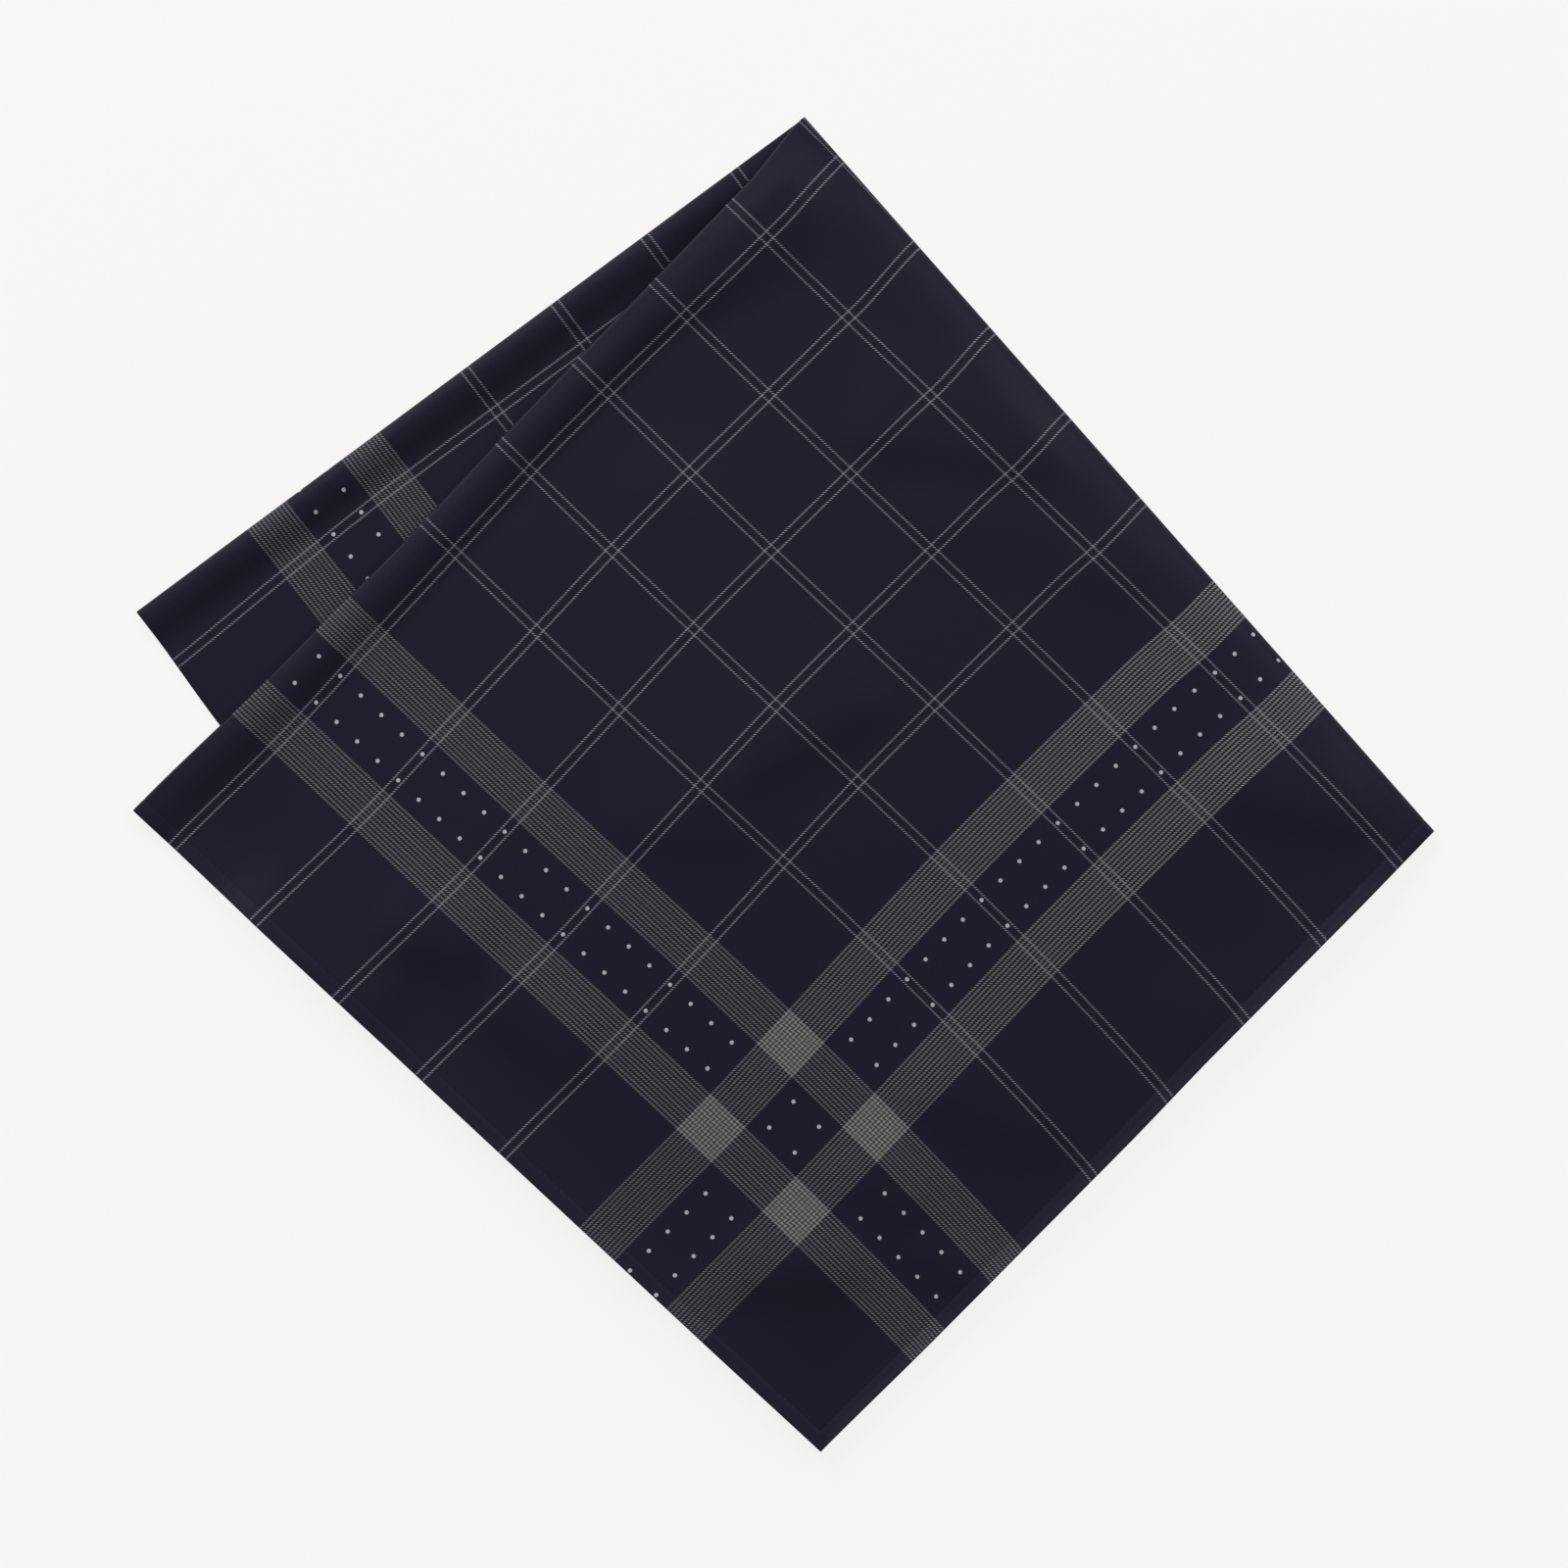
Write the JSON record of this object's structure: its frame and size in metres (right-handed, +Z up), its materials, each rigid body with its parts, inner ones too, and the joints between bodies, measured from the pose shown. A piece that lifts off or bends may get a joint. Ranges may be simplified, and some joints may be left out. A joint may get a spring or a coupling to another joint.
{
  "type": "folded satin scarf",
  "caption": "Square satin scarf folded askew into quarters, lying flat, with a soft roll along its first fold.",
  "frame": {"origin": "on the surface that the scarf lies on, under the middle of its folded outline", "axes": "+Z up out of the surface, +Y towards the corner where the two folds meet"},
  "size_m": [0.3918, 0.4011, 0.0078],
  "materials": {
    "satin": "dark navy satin with fine pale stripes, crossing lines and small dots"
  },
  "bodies": {
    "root": {"scarf": "satin"}
  },
  "joints": []
}
